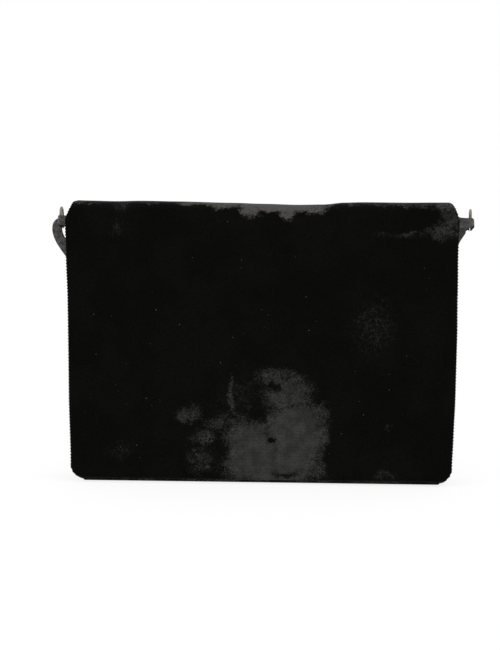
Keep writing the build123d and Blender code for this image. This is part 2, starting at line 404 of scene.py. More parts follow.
def tab_path(reach):
    """The tab seen from its edge: out along the rear, round the wire and back."""
    run = []
    for k in range(TAB_STEPS + 1):
        share = k / TAB_STEPS
        spread = TAB_PRESSED + (1 - TAB_PRESSED) * share
        run.append((-reach + reach * share * TAB_STOP, -TAB_LANE * spread))
    turn = [(TAB_LANE * sin(a), -TAB_LANE * cos(a))
            for a in np.linspace(TAB_TURN_FROM, pi - TAB_TURN_FROM, 12)]
    return [Vector(p) for p in run + turn + [(x, -y) for x, y in reversed(run)]]


def tab(name, centre, side, sewn_in):
    """A ribbon folded over the wire, flat at the bag and curved like the ring at the wire."""
    path, points = tab_path(abs(centre.x) - side * sewn_in), []
    for i, here in enumerate(path):
        out = outward(path, i)
        flat = float(soften((-here.x - TAB_FLAT_TO) / (TAB_FLAT_FROM - TAB_FLAT_TO)))
        for share, half in round_the_band():
            p = here + out * half * TAB_PLY / 2 * ribbon_cord(share) * selvedge(share - 0.5, BAND_EDGE)
            angle = TAB_ANGLES[0] + (TAB_ANGLES[1] - TAB_ANGLES[0]) * share
            height = TAB_LOW + (TAB_HIGH - TAB_LOW) * share
            curved = ring_point(centre, RING_RADIUS - p.y, angle, side * p.x)
            level = centre + Vector((side * p.x, -RING_RADIUS + p.y, height))
            points.append(curved.lerp(level, flat))
    return make_piece(name, points, tube_faces(len(path), 2 * BAND_COLUMNS))


for side_name, side, box in (("right", 1, RING_RIGHT), ("left", -1, RING_LEFT)):
    tab_low, tab_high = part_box(f"tab_{side_name}")
    piece = tab(f"ribbon_tab_{side_name}", ring_centre(box), side, (tab_low if side > 0 else tab_high).x)
    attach(piece, "case")
    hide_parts(f"tab_{side_name}")
print("tabs made")

# %% [markdown]
# Sections of folded cloth.
#
# Seen from the side, each cloth is a line of straights and round folds: along the spine, over the
# top fold, down the flap. Writing that line as moves, like directions for a walk, keeps every
# layer of the sandwich parallel, because a layer is the same walk at another depth.

# %% Walk along a fold
def walk(start, heading, moves, side=1):
    """Runs of a section in the Y-Z plane. A move is ("go", length) or ("turn", radius, angle);
    a positive turn folds away from the outer face. side says which hand the face is on."""
    runs, place, angle, s = [], np.array(start, float), radians(heading), 0.0
    for move in moves:
        toward = np.array((cos(angle), sin(angle)))
        normal = side * np.array((sin(angle), -cos(angle)))
        if move[0] == "go":
            runs.append((s, s + move[1], place, angle, None, 0.0))
            place = place + toward * move[1]
            s += move[1]
        else:
            radius, turn = move[1], radians(move[2])
            sense = 1 if turn > 0 else -1
            centre = place - normal * radius * sense
            length = radius * abs(turn)
            runs.append((s, s + length, centre, angle, radius, side * turn))
            angle += side * turn
            normal = side * np.array((sin(angle), -cos(angle)))
            place = centre + normal * radius * sense
            s += length
    return {"runs": runs, "side": side, "length": s}


def stand(section, s, depth):
    """Points (y, z) of a section at distances s along it and depths below its face."""
    s, depth = np.broadcast_arrays(np.asarray(s, float), np.asarray(depth, float))
    y, z = np.zeros(s.shape), np.zeros(s.shape)
    last = len(section["runs"]) - 1
    for i, (low, high, anchor, heading, radius, turn) in enumerate(section["runs"]):
        here = (s >= low if i else s >= -1e9) & (s < high if i < last else s < 1e9)
        if radius is None:
            toward = np.array((cos(heading), sin(heading)))
            normal = section["side"] * np.array((sin(heading), -cos(heading)))
            y[here] = anchor[0] + toward[0] * (s[here] - low) - normal[0] * depth[here]
            z[here] = anchor[1] + toward[1] * (s[here] - low) - normal[1] * depth[here]
        else:
            sense = 1 if turn * section["side"] > 0 else -1
            angle = heading + turn * (s[here] - low) / (high - low)
            reach = radius * sense - depth[here]
            y[here] = anchor[0] + section["side"] * np.sin(angle) * reach
            z[here] = anchor[1] - section["side"] * np.cos(angle) * reach
    return y, z


TOP_ROLL, REAR_ROLL, FOOT_ROLL = 6 * MM, 3.2 * MM, 2.8 * MM
DEG_LEAN = 4.5
front_turn = 90 - DEG_LEAN
roll_in = TOP_ROLL * tan(radians(front_turn) / 2)
flap_slope = (TOP - FLAP_FACE * sin(LEAN)) / cos(LEAN)
flap_walk = walk((MID_SPINE_Y, TOP), 180,
                 [("go", MID_SPINE_Y - FOLD_Y - roll_in), ("turn", TOP_ROLL, front_turn),
                  ("go", flap_slope - HEM - roll_in)])
back_walk = walk((MID_SPINE_Y, TOP), 0,
                 [("go", BACK_Y - MID_SPINE_Y - REAR_ROLL), ("turn", REAR_ROLL, 90),
                  ("go", TOP - REAR_ROLL - 0.4 * MM)], side=-1)
foot_in = FOOT_ROLL * tan(radians(90 + DEG_LEAN) / 2)
MOUTH = 167 * MM
front_walk = walk((BACK_Y - 1.6 * MM, 0), 180,
                  [("go", BACK_Y - 1.6 * MM - FRONT_Y - foot_in), ("turn", FOOT_ROLL, 90 + DEG_LEAN),
                   ("go", MOUTH - foot_in)], side=-1)
for name, section in (("flap", flap_walk), ("back", back_walk), ("front", front_walk)):
    print(name, "cloth is", round(section["length"] / MM, 1), "mm long")

# %% [markdown]
# The bag's outline.
#
# Cut by hand and pulled over board, the sides aren't quite straight: they swell and hollow by
# about a millimetre. The top sinks a little where hands have pressed it. The same gentle errors
# are given to every layer, so that the layers stay together.

# %% Outline
# (height, swell) of the sides and (place along X, sag) of the top, in mm
SWAY_LEFT = [(0, -0.2), (16, -0.4), (53, 0.1), (95, 0.0), (116, 0.0), (145, 0.6), (168, 0.9),
             (176, 1.5), (180, 1.8)]
SWAY_RIGHT = [(0, -0.6), (12, -0.6), (33, -0.2), (55, 0.2), (95, 0.1), (120, -0.4), (150, -0.9),
              (168, -0.5), (174, 0.6), (177, 1.0), (180, 0.6)]
DIP = [(-125, 1.1), (-112, 1.4), (-95, 1.7), (-78, 1.3), (-55, 1.6), (-20, 2.3), (0, 2.8),
       (22, 3.3), (38, 3.0), (52, 1.7), (64, 1.4), (92, 1.5), (110, 1.3), (125, 1.2)]
SAG_FROM, SAG_OVER = 160 * MM, 16 * MM
WAVE = 0.22 * MM


def eased(knots, where):
    """A smooth value through (place, value) knots, both in mm."""
    places = np.array([k[0] for k in knots]) * MM
    values = np.array([k[1] for k in knots]) * MM
    where = np.clip(where, places[0], places[-1])
    i = np.clip(np.searchsorted(places, where) - 1, 0, len(knots) - 2)
    share = (where - places[i]) / (places[i + 1] - places[i])
    return values[i] + (values[i + 1] - values[i]) * soften(share)


def half_width(z, side, inset):
    """Distance from the middle to a panel's side edge at a height."""
    straight = np.where(z < SHOULDER_Z, BOTTOM_HALF + (SHOULDER - BOTTOM_HALF) * z / SHOULDER_Z,
                        SHOULDER - (SHOULDER - TOP_HALF) * (z - SHOULDER_Z) / (TOP - SHOULDER_Z))
    return straight + eased(SWAY_RIGHT if side > 0 else SWAY_LEFT, z) - inset


def settle(points, sag=1.0):
    """The sag of the top and the slow waves of a hand-made panel."""
    x, y, z = points[..., 0], points[..., 1], points[..., 2]
    near_top = soften((z - SAG_FROM) / SAG_OVER)
    wave = WAVE * np.sin(x / 0.031 + 1.3) * np.sin(z / 0.043 + 0.4)
    free = soften(z / 0.03) * soften((TOP - 0.012 - z) / 0.03)
    moved = points.copy()
    moved[..., 2] = z - eased(DIP, x) * near_top * sag
    moved[..., 1] = y + wave * free
    return moved


# %% [markdown]
# A panel with turned edges.
#
# Velvet is cut larger than its board, and its edges are turned over to the inside and glued.
# The mesh does the same: a face, a rounded edge, a flange on the inner side, and an inner skin.
# Along the sides the pile's ribs show as small teeth, one for each rib, two millimetres apart.

# %% Panel helper
RIB_PITCH, RIB_RISE, TOOTH = 2.0 * MM, 0.02 * MM, 0.26 * MM
CORNER_ROWS, EDGE_STEPS = 9, 8
FLANGE_PLY = 0.5 * MM


def edge_profile(thick, skin, roll, flange):
    """The turned edge as (outward, down) places: round the edge, then along the flange and back."""
    turns = np.linspace(pi / EDGE_STEPS, pi, EDGE_STEPS)
    profile = [(roll * sin(a), thick / 2 * (1 - cos(a))) for a in turns]
    if flange:
        low, high = thick, thick - FLANGE_PLY
        profile += [(-0.4 * flange, low), (-0.98 * flange, low), (-flange, (low + high) / 2),
                    (-0.96 * flange, high), (-0.3 * flange, high),
                    (0.3 * roll, high - 0.1 * MM), (0.35 * roll, skin + 0.1 * MM)]
    return profile


def shell_faces(count, columns, edge, profile_length):
    """Faces of a panel: its face, its inner skin, the turned edge between them and the cut end."""
    points_before_skin = count * columns + profile_length * len(edge)
    faces = []
    for base in (0, points_before_skin):
        for i in range(count - 1):
            for j in range(columns - 1):
                a = base + i * columns + j
                faces.append((a, a + 1, a + columns + 1, a + columns))
    on_face = [i * columns + j for i, j in edge]
    lines = [on_face]
    lines += [[count * columns + k * len(edge) + m for m in range(len(edge))] for k in range(profile_length)]
    lines.append([points_before_skin + m for m in on_face])
    for upper, lower in zip(lines, lines[1:]):
        for m in range(len(edge) - 1):
            faces.append((upper[m], upper[m + 1], lower[m + 1], lower[m]))
    for j in range(columns - 1):
        faces.append((j, j + 1, points_before_skin + j + 1, points_before_skin + j))
    faces.append(tuple(line[0] for line in lines))
    faces.append(tuple(line[-1] for line in lines))
    return faces


def panel(name, section, start, end, inset, thick, skin, depth=0.0, roll=None, flange=0.0,
          columns=60, step=0.5 * MM, corner=CORNER, ribs=False, narrow=None, sag=1.0,
          slim=None):
    """A closed shell of cloth along a section, with rounded lower corners and turned edges."""
    roll = thick / 2 if roll is None else roll
    corner_in = corner - inset - roll
    straight_rows = np.arange(start, end - roll - corner_in, step)
    turning = np.linspace(0, pi / 2, CORNER_ROWS)
    rows = np.concatenate([straight_rows, end - roll - corner_in + corner_in * np.sin(turning)])
    bends = np.concatenate([0 * straight_rows, turning])
    count = len(rows)
    at_z = stand(section, rows, depth)[1]
    narrow = np.zeros(count) if narrow is None else narrow(rows)
    sides = {}
    for side in (-1, 1):
        reach = half_width(at_z, side, inset) - roll - narrow
        sides[side] = reach - corner_in * (1 - np.cos(bends))
    share = np.linspace(0, 1, columns)
    grid_x = -sides[-1][:, None] + (sides[-1] + sides[1])[:, None] * share[None, :]
    grid_s = np.repeat(rows[:, None], columns, 1)

    def world(x, s, d):
        y, z = stand(section, s, d)
        return settle(np.stack([np.broadcast_to(x, y.shape), y, z], -1), sag)

    rib = np.zeros_like(grid_s)
    if ribs:
        wobble = 0.25 * np.sin(grid_x / 0.017) + 0.2 * np.sin(grid_x / 0.0071 + 2)
        rib = RIB_RISE * np.cos(2 * pi * grid_s / RIB_PITCH + wobble)
    face = world(grid_x, grid_s, depth - rib)
    skin_back = world(grid_x, grid_s, depth + skin + 0 * grid_s)

    left = [(i, 0) for i in range(count)]
    bottom = [(count - 1, j) for j in range(1, columns - 1)]
    right = [(i, columns - 1) for i in reversed(range(count))]
    edge = left + bottom + right
    edge_x = np.array([grid_x[p] for p in edge])
    edge_s = np.array([grid_s[p] for p in edge])
    outside = []
    for i, j in edge:
        if 0 < j < columns - 1:
            outside.append((0.0, 1.0))
        else:
            outside.append((cos(bends[i]) * (1 if j else -1), sin(bends[i])))
    out_x, out_s = np.array(outside).T
    tooth = TOOTH * np.cos(2 * pi * edge_s / RIB_PITCH) * np.abs(out_x) if ribs else 0.0
    corner_s = rows[-CORNER_ROWS]
    corner_x = np.where(edge_x < 0, sides[-1][-1], sides[1][-1])
    room = 0.9 * corner_in + np.maximum(0, np.where(out_s == 1.0, corner_x - np.abs(edge_x),
                                                    corner_s - edge_s))
    turned_in = np.ones(len(edge)) if slim is None else slim(edge_s)
    rings = []
    for out, down in edge_profile(thick, skin, roll, flange):
        swell = tooth * max(0.0, out / roll) if roll else 0.0
        out = np.maximum(out if out > 0 else out * turned_in, -room)
        rings.append(world(edge_x + out_x * (out + swell), edge_s + out_s * (out + swell),
                           depth + down + 0 * edge_s))

    points = [face.reshape(-1, 3)] + rings + [skin_back.reshape(-1, 3)]
    return make_piece(name, np.concatenate(points), shell_faces(count, columns, edge, len(rings)))


# %% [markdown]
# The velvet over the flap.
#
# This is the piece that shows: it starts in the middle of the spine, rolls over the top and hangs
# to the hem. The flap opens in two steps, so the cloth has to bend where the spine meets the
# flap.

# %% Flap velvet
VELVET_ROLL, TURNED_IN = 1.35 * MM, 5.2 * MM
SPINE_PULL = 0.3 * MM
SLIM = 0.08


def on_spine_narrow(rows):
    """The cloth pulls in slightly where it crosses the spine."""
    return SPINE_PULL * soften(1 - rows / (8 * MM))


def slim_until(clear):
    """Little cloth is turned in over the spine and its fold, and more once past it."""
    return lambda rows: SLIM + (1 - SLIM) * soften((rows - clear) / (8 * MM))


flap_velvet = panel("velvet_flap", flap_walk, 0.0, flap_walk["length"], 0.0, WALL, VELVET,
                    roll=VELVET_ROLL, flange=TURNED_IN, columns=84, ribs=True,
                    narrow=on_spine_narrow, slim=slim_until(22 * MM))
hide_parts("flap_velvet", "spine_velvet")
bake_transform(flap_velvet)
print("velvet_flap", len(flap_velvet.data.vertices), "points")

# %% [markdown]
# The velvet over the back.
#
# The same cloth carries on over the rear fold and down the back. It meets the flap's piece in the
# middle of the spine, edge to edge, where nothing bends.

# %% Back velvet
back_velvet = panel("velvet_back", back_walk, 0.0, back_walk["length"], BEHIND, WALL, VELVET,
                    roll=VELVET_ROLL, flange=TURNED_IN, columns=64, ribs=True,
                    narrow=lambda rows: (SPINE_PULL - BEHIND) * soften(1 - rows / (7 * MM)),
                    slim=slim_until(20 * MM))
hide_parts("back_velvet")
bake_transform(back_velvet)
print("velvet_back", len(back_velvet.data.vertices), "points")

# %% [markdown]
# The velvet under the base and up the front.
#
# Under the flap one cloth covers the base and the front panel, and its edges are turned in at the
# sides and along the mouth. The mouth doesn't sink with the top fold, because the front isn't sewn
# to it. The sides draw in on the base, where the panels' round lower corners leave less room.

# %% Front and base velvet
BASE_HALF = 114.2 * MM
BASE_RUN = BACK_Y - 1.6 * MM - FRONT_Y


def front_narrow(rows):
    """How much the front cloth draws in towards the base, following the round corners."""
    up = rows - BASE_RUN
    full = BOTTOM_HALF - BEHIND - BASE_HALF
    radius = CORNER - BEHIND
    bend = np.clip(1 - up / radius, 0, 1)
    return full * (1 - np.sqrt(np.clip(1 - bend**2, 0, 1)))


front_velvet = panel("velvet_front_and_base", front_walk, 0.0, front_walk["length"], BEHIND, WALL,
                     VELVET, roll=VELVET_ROLL, flange=TURNED_IN, columns=64, corner=3.4 * MM, ribs=True,
                     narrow=front_narrow, sag=0.0)
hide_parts("front_velvet", "base_velvet")
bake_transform(front_velvet)
print("velvet_front_and_base", len(front_velvet.data.vertices), "points")

# %% [markdown]
# Satin linings.
#
# The inside is lined in black satin. Each lining is a thin sheet glued over the boards, a little
# smaller than its panel. The linings follow the same walks as the velvet, one wall's thickness
# further in, and cross the same folds.

# %% Linings
LINING_IN, LINING_ROLL = 1.1 * MM, 0.25 * MM
flap_satin = panel("satin_flap", flap_walk, 0.0, flap_walk["length"] - 1.2 * MM, LINING_IN, LINING,
                   LINING, depth=WALL - LINING + 0.2 * MM, roll=LINING_ROLL, columns=56, step=0.6 * MM)
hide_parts("flap_lining", "spine_lining")
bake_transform(flap_satin)

inner_roll = 1.2 * MM
back_in = walk((MID_SPINE_Y, TOP - WALL + LINING), 0,
               [("go", BACK_Y - WALL + LINING - MID_SPINE_Y - inner_roll), ("turn", inner_roll, 90),
                ("go", TOP - WALL - inner_roll - 2.6 * MM)], side=-1)
back_satin = panel("satin_back", back_in, 0.0, back_in["length"], BEHIND + LINING_IN, LINING, LINING,
                   roll=LINING_ROLL, columns=48, step=0.7 * MM)
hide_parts("back_lining")
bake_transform(back_satin)

front_inner_y = FRONT_Y + WALL / cos(LEAN) + WALL * tan(LEAN)
INNER_FOOT = 1.5 * MM
floor_run = BACK_Y - WALL - 0.3 * MM - front_inner_y - INNER_FOOT * tan(radians(90 + DEG_LEAN) / 2)
front_in = walk((BACK_Y - WALL - 0.3 * MM, WALL - LINING), 180,
                [("go", floor_run - LINING), ("turn", INNER_FOOT + LINING, 90 + DEG_LEAN),
                 ("go", MOUTH - WALL - INNER_FOOT - 5 * MM)], side=-1)


def front_lining_narrow(rows):
    """The lining draws in at the foot of the front, as its velvet does."""
    bend = np.clip(1 - (rows - floor_run) / (CORNER - BEHIND), 0, 1)
    return (BOTTOM_HALF - BASE_HALF - 1.6 * MM) * (1 - np.sqrt(np.clip(1 - bend**2, 0, 1)))


front_satin = panel("satin_front_and_base", front_in, 0.0, front_in["length"], BEHIND + LINING_IN,
                    LINING, LINING, roll=LINING_ROLL, columns=48, step=0.8 * MM, corner=4 * MM,
                    narrow=front_lining_narrow, sag=0.0)
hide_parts("front_lining", "base_lining")
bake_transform(front_satin)
print("linings made")

# %% [markdown]
# Folded gussets.
#
# A gusset joins the front to the back at each side. It is folded inward along its middle, so it
# closes flat and opens like a bellows when the front leans out. Its fold gets deeper towards the
# mouth.

# %% Gussets
GUSSET_LOW, GUSSET_HIGH = 1.6 * MM, 158 * MM
GUSSET_IN = 2.4 * MM
GUSSET_ROWS, GUSSET_LEG = 64, 9
TUCK_LOW, TUCK_HIGH = 4 * MM, 16 * MM     # how far the fold goes in at the foot and at the mouth
GUSSET_CLEAR = 0.35 * MM


def gusset_line(z, extra, side):
    """The folded line of a gusset at one height, from its rear edge to its front edge."""
    rise = (z - GUSSET_LOW) / (GUSSET_HIGH - GUSSET_LOW)
    tuck = TUCK_LOW + (TUCK_HIGH - TUCK_LOW) * rise
    outer = float(half_width(np.array(z), side, BEHIND + GUSSET_IN)) - extra
    outer -= (CORNER - BEHIND) * (1 - (1 - max(0, 1 - z / (CORNER - BEHIND)) ** 2) ** 0.5)
    rear = BACK_Y - WALL - GUSSET_CLEAR
    fore = FRONT_Y + WALL / cos(LEAN) + z * tan(LEAN) + GUSSET_CLEAR
    line = []
    for k in range(2 * GUSSET_LEG + 1):
        share = k / (2 * GUSSET_LEG)
        away = 1 - abs(2 * share - 1)
        depth = tuck * (away - 0.10 * away**8) + 0.25 * MM * sin(pi * away) * sin(z / 0.011)
        line.append((side * (outer - depth), rear + (fore - rear) * share))
    return line


def gusset(name, side, extra, thick):
    """One closed layer of a gusset."""
    points = []
    for r in range(GUSSET_ROWS):
        z = GUSSET_LOW + (GUSSET_HIGH - GUSSET_LOW) * r / (GUSSET_ROWS - 1)
        outer = gusset_line(z, extra, side)
        inner = gusset_line(z, extra + thick, side)
        points += [(x, y, z) for x, y in outer] + [(x, y, z) for x, y in reversed(inner)]
    return make_piece(name, points, tube_faces(GUSSET_ROWS, 2 * (2 * GUSSET_LEG + 1)))


for side_name, side in (("left", -1), ("right", 1)):
    for cloth, extra, thick, node_name in (
            ("velvet", 0.0, 0.8 * MM, f"gusset_{side_name}"),
            ("satin", 0.95 * MM, 0.35 * MM, f"gusset_lining_{side_name}")):
        piece = gusset(f"{cloth}_gusset_{side_name}", side, extra, thick)
        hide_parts(node_name)
        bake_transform(piece)
print("gussets made")

# %% [markdown]
# The boards and the pocket.
#
# The top of the bag sinks a little, and the boards inside have to sink with the cloth over them.
# So the boards of the spine, the flap and the back are laid again with the same sag, and kept
# clear of the folds, where the cloth bends alone. The slip pocket is a flat piece of the lining
# with a hem along its mouth, sewn to the back at its sides and bottom.

# %% Boards and pocket
def slab(name, low, high, columns, rise_at):
    """A thin plate between two corners, in columns along X, with small chamfers and a sag."""
    points = []
    soft = 0.2 * MM
    for c in range(columns + 1):
        x = low[0] + (high[0] - low[0]) * c / columns
        section = [(low[1], low[2] + soft), (low[1], high[2] - soft), (low[1] + soft, high[2]),
                   (high[1] - soft, high[2]), (high[1], high[2] - soft), (high[1], low[2] + soft),
                   (high[1] - soft, low[2]), (low[1] + soft, low[2])]
        points += [(x, y, z + rise_at(x)) for y, z in section]
    return make_piece(name, points, tube_faces(columns + 1, 8))


boards = []
CLEAR_OF_FLAP_FOLD, CLEAR_OF_REAR_FOLD = 6.4 * MM, 2.8 * MM
board_low, board_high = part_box("spine_board")
spine_stiffener = slab(
    "spine_stiffener", (board_low.x, FOLD_Y + CLEAR_OF_FLAP_FOLD, board_low.z),
    (board_high.x, board_high.y - CLEAR_OF_REAR_FOLD, board_high.z), 60,
    lambda x: -float(eased(DIP, np.array(x))))
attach(spine_stiffener, "spine")
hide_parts("spine_board")

BOARD_IN, BELOW_FOLD = 1.3 * MM, 4.5 * MM
flap_straight = flap_slope - HEM - roll_in
back_straight = TOP - REAR_ROLL - 4 * MM
for name, section, straight, inset, node, body in (
        ("flap_stiffener", flap_walk, flap_straight, BOARD_IN, "flap_board", "flap"),
        ("back_stiffener", back_walk, back_straight, BEHIND + BOARD_IN, "back_board", "case")):
    end = section["length"]
    stiffener = panel(name, section, end - straight + BELOW_FOLD, end - BOARD_IN, inset, BOARD, BOARD,
                      depth=VELVET, roll=0.3 * MM, columns=48, step=1.5 * MM)
    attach(stiffener, body)
    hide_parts(node)
    boards.append(stiffener)

pocket_low, pocket_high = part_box("slip_pocket")
POCKET_HEM = 6 * MM
POCKET_COLUMNS, POCKET_ROWS = 50, 40


def pocket_sheet():
    """The pocket: nearly flat, a little slack at the mouth, thicker where the hem is turned."""
    points = []
    for r in range(POCKET_ROWS + 1):
        v = r / POCKET_ROWS
        z = pocket_low.z + (pocket_high.z - pocket_low.z) * v
        hem = 0.12 * MM if z > pocket_high.z - POCKET_HEM else 0.0
        front, rear = [], []
        for c in range(POCKET_COLUMNS + 1):
            u = c / POCKET_COLUMNS
            x = pocket_low.x + (pocket_high.x - pocket_low.x) * u
            slack = 0.7 * MM * sin(pi * u) ** 0.7 * v**3
            pucker = 0.06 * MM * sin(u * 60) * (1 - abs(2 * v - 1)) ** 2
            front.append((x, pocket_low.y - slack - hem - pucker, z))
            rear.append((x, pocket_high.y - 0.1 * MM - slack, z))
        points += front + rear[::-1]
    return make_piece("slip_pocket_satin", points, tube_faces(POCKET_ROWS + 1, 2 * (POCKET_COLUMNS + 1)))


pocket = pocket_sheet()
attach(pocket, "case")
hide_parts("slip_pocket")
print("boards and pocket made")

# %% [markdown]
# The magnetic snap.
#
# The snap has a cup with a magnet on the front panel and a stud on the flap. Such parts are
# stamped and turned, so every rim is round. Each one is a profile spun about the snap's axis,
# which stands square to the leaning front.

# %% Snap
SNAP_UP, AROUND = 30 * MM, 64
snap_out = Vector((0, -cos(LEAN), sin(LEAN)))
snap_up = Vector((0, sin(LEAN), cos(LEAN)))
snap_foot = Vector((0, FRONT_Y, 0)) + snap_up * SNAP_UP


def spun(name, profile):
    """A turned part. profile is (radius, height over the front's face) in mm, hub to hub."""
    points = []
    for radius, height in profile:
        for k in range(AROUND):
            turn = 2 * pi * k / AROUND
            around_axis = Vector((cos(turn), 0, 0)) + snap_up * sin(turn)
            points.append(snap_foot + snap_out * height * MM + around_axis * radius * MM)
    return make_piece(name, points, tube_faces(len(profile), AROUND))


cup = spun("snap_cup_turned", [
    (0.05, -2.1), (1.4, -2.1), (1.5, -2.0), (1.5, -0.02), (6.6, 0.0), (6.9, 0.12), (7.0, 0.35),
    (7.0, 1.05), (6.9, 1.28), (6.65, 1.4), (6.4, 1.34), (6.24, 1.15), (6.2, 0.9), (6.2, 0.34),
    (6.1, 0.3), (0.05, 0.3)])
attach(cup, "front")
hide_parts("snap_cup")
magnet = spun("snap_magnet_turned", [
    (2.55, 0.32), (6.05, 0.32), (6.08, 0.5), (6.08, 1.2), (5.95, 1.33), (5.8, 1.36), (2.85, 1.36),
    (2.62, 1.3), (2.52, 1.15), (2.5, 0.45), (2.55, 0.32)])
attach(magnet, "front")
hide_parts("snap_magnet")
stud = spun("snap_stud_turned", [
    (0.05, 0.6), (1.8, 0.6), (2.1, 0.7), (2.2, 0.95), (2.2, 1.66), (2.4, 1.74), (6.5, 1.75),
    (6.85, 1.85), (7.0, 2.05), (7.0, 2.25), (6.9, 2.38), (1.52, 2.4), (1.5, 2.5), (1.5, 4.0),
    (1.4, 4.08), (0.05, 4.08)])
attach(stud, "flap")
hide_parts("snap_stud")
print("snap parts", [o.name for o in (cup, magnet, stud)])

# %% [markdown]
# Stitches.
#
# The linings and the pocket are sewn by hand with black thread. One stitch is a short bead of
# thread, thicker in the middle and sunk at both ends. A row of them along an edge is one piece.

# %% Stitches
STITCH, STITCH_GAP, THREAD = 2.2 * MM, 1.3 * MM, 0.22 * MM
BEAD_STATIONS, BEAD_AROUND = 5, 6


def add_bead(points, faces, start, run, across, out, girth, ends, arch=0.0):
    """Adds a bead of fibre along a run, thickest in the middle, with its ends a share as thick."""
    base = len(points)
    for s in range(BEAD_STATIONS):
        share = s / (BEAD_STATIONS - 1)
        rise = sin(pi * share)
        radius = girth * (ends + (1 - ends) * rise)
        middle = start + run * share + out * girth * arch * rise
        for j in range(BEAD_AROUND):
            turn = 2 * pi * j / BEAD_AROUND
            points.append(middle + across * radius * cos(turn) + out * radius * sin(turn))
    faces += [tuple(base + i for i in face) for face in tube_faces(BEAD_STATIONS, BEAD_AROUND)]


def stitch_row(name, line, lift):
    """Stitches along a line of points. lift is the direction away from the cloth."""
    points, faces = [], []
    for a, b in zip(line, line[1:]):
        run = b - a
        count = int(run.length / (STITCH + STITCH_GAP))
        if count == 0:
            continue
        along = run.normalized()
        out = Vector(lift).normalized()
        across = along.cross(out).normalized()
        gap = (run.length - count * STITCH) / count
        for k in range(count):
            start = a + along * (gap / 2 + k * (STITCH + gap)) - out * THREAD / 2
            add_bead(points, faces, start, along * STITCH, across, out, THREAD, 0.35, 0.9)
    return make_piece(name, points, faces)


def flap_inner_line(inset):
    """A line round the flap's lining, this far inside the flap's edge."""
    line = []
    for side in (-1, 1):
        heights = np.linspace(TOP - 14 * MM, 12 * MM, 40)
        xs = side * half_width(heights, side, inset)
        ys = FRONT_Y + heights * tan(LEAN) - (SNAP_GAP - 0.12 * MM) / cos(LEAN)
        line.append([Vector(p) for p in settle(np.stack([xs, ys, heights], -1))])
    z = (HEM + inset) * cos(LEAN)
    y = FRONT_Y + z * tan(LEAN) - (SNAP_GAP - 0.12 * MM) / cos(LEAN)
    xs = np.linspace(-111 * MM, 111 * MM, 30)
    low = [Vector(p) for p in settle(np.stack([xs, xs * 0 + y, xs * 0 + z], -1))]
    return line[0] + low + line[1][::-1]


flap_stitches = stitch_row("stitches_flap", flap_inner_line(2.6 * MM), (0, cos(LEAN), -sin(LEAN)))
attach(flap_stitches, "flap")
hem_z = pocket_high.z - POCKET_HEM + 0.8 * MM
side_x = 1.4 * MM
pocket_line = [Vector((pocket_high.x - side_x, pocket_low.y - 0.05 * MM, z)) for z in (hem_z, 0.06)]
pocket_line += [Vector((pocket_high.x - side_x, pocket_low.y - 0.05 * MM, pocket_low.z + side_x)),
                Vector((pocket_low.x + side_x, pocket_low.y - 0.05 * MM, pocket_low.z + side_x)),
                Vector((pocket_low.x + side_x, pocket_low.y - 0.05 * MM, hem_z))]
pocket_stitches = stitch_row("stitches_pocket", pocket_line, (0, -1, 0))
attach(pocket_stitches, "case")
print("stitches", len(flap_stitches.data.vertices) // 30, "on the flap")

# %% [markdown]
# Lint.
#
# Old velvet holds pale specks of lint. They are real fibres standing on the pile, so they are
# tiny flattened beads in their own mesh and not paint. A few are placed, and the rest are
# scattered from a fixed seed, so that every run gives the same bag.

# %% Lint
SPECKS = [(-22, 167), (21, 144), (-13, 142), (28, 119), (-67, 110), (-52, 101), (-18, 93), (30, 98),
          (-26, 77), (81, 71), (81, 61), (65, 45), (51, 33), (-79, 24), (-73, 54), (-107, 107)]
AWAY, LINT_LIFT = Vector((0, -1, 0)), 0.12 * MM
random.seed(11)
scattered = [(random.uniform(-112, 112), random.uniform(14, 160)) for _ in range(46)]


def lint_on_flap():
    """Tiny fibres lying on the flap's face."""
    points, faces = [], []
    for n, (x, z) in enumerate(SPECKS + scattered):
        placed = n < len(SPECKS)
        long = random.uniform(0.22, 0.38) * MM if placed else random.uniform(0.10, 0.24) * MM
        wide = random.uniform(0.12, 0.17) * MM if placed else random.uniform(0.05, 0.09) * MM
        spin = random.uniform(0, pi)
        height = z * MM
        y = FRONT_Y + height * tan(LEAN) - FLAP_FACE / cos(LEAN)
        foot = settle(np.array([[x * MM, y, height]]))[0]
        along = Vector((cos(spin), 0, sin(spin)))
        across = Vector((-sin(spin), 0, cos(spin)))
        start = Vector(foot) - along * long + AWAY * LINT_LIFT
        add_bead(points, faces, start, along * 2 * long, across, AWAY, wide, 0.25)
    return make_piece("lint", points, faces)


lint = lint_on_flap()
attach(lint, "flap")
print("lint specks", len(SPECKS) + len(scattered))

# %% [markdown]
# Wiring materials.
#
# A Blender material is a graph of small nodes. Two helpers keep the wiring readable: one places
# a node and feeds its sockets, the other does a sum. Values that are the same all over a surface,
# such as sheen, are set on the shader itself.

# %% Material helpers
def put(tree, kind, feeds=None, **settings):
    """A node with its settings, fed by values or by other nodes' outputs."""
    node = tree.nodes.new("ShaderNode" + kind)
    for key, value in settings.items():
        setattr(node, key, value)
    for key, value in (feeds or {}).items():
        if isinstance(value, bpy.types.NodeSocket):
            tree.links.new(value, node.inputs[key])
        else:
            node.inputs[key].default_value = value
    return node


def sum_up(tree, operation, first, second, clamp=False):
    return put(tree, "Math", {0: first, 1: second}, operation=operation, use_clamp=clamp).outputs[0]


def blend_colour(tree, factor, first, second):
    return put(tree, "Mix", {0: factor, 6: first, 7: second}, data_type="RGBA").outputs[2]


